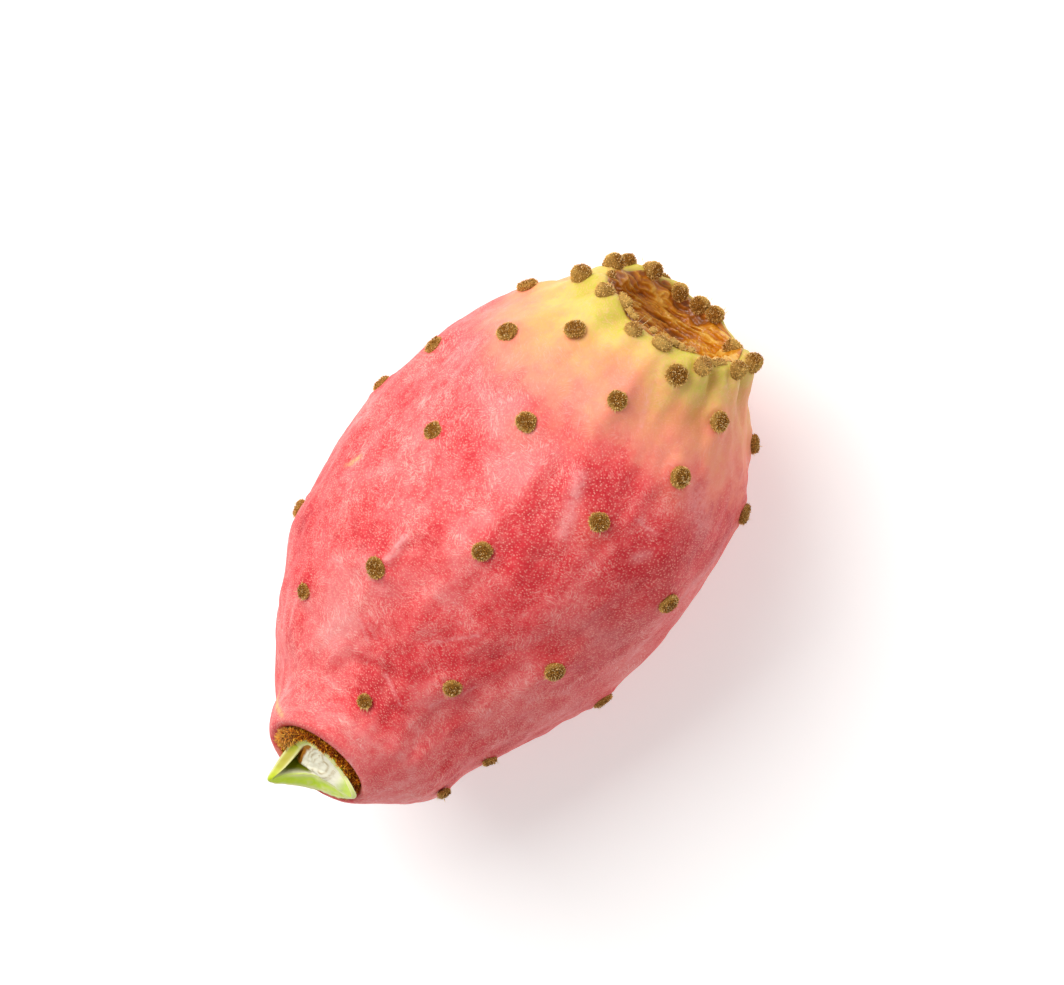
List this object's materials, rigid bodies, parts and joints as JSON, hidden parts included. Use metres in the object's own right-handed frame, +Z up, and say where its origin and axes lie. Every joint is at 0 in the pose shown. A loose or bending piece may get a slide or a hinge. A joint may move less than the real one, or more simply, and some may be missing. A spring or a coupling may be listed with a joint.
{
  "type": "prickly pear fruit",
  "caption": "Whole ripe prickly pear fruit lying on its side, with felted areoles, a sunken crown and a slice of pad left at the stem end.",
  "frame": {"origin": "on the surface that the fruit lies on, below the middle of its bounding box", "axes": "+X along the fruit from the stem end to the crown, +Z up, +Y to the left when looking from the stem to the crown"},
  "size_m": [0.0824, 0.0502, 0.0493],
  "materials": {
    "cactus_fruit_skin": "waxy pink-red fruit skin with pale dots and a thin bloom, yellow-green towards the crown",
    "dried_flower_bed": "wrinkled brown membrane, moist and glossy in places",
    "areole_wool": "matt brown felt of short hairs",
    "cut_cactus_pad": "lime green skin with moist white cut flesh"
  },
  "bodies": {
    "root": {"fruit": "cactus_fruit_skin", "flower_bed": "dried_flower_bed", "stem_wool": "areole_wool", "pad_slice": "cut_cactus_pad"}
  },
  "joints": []
}
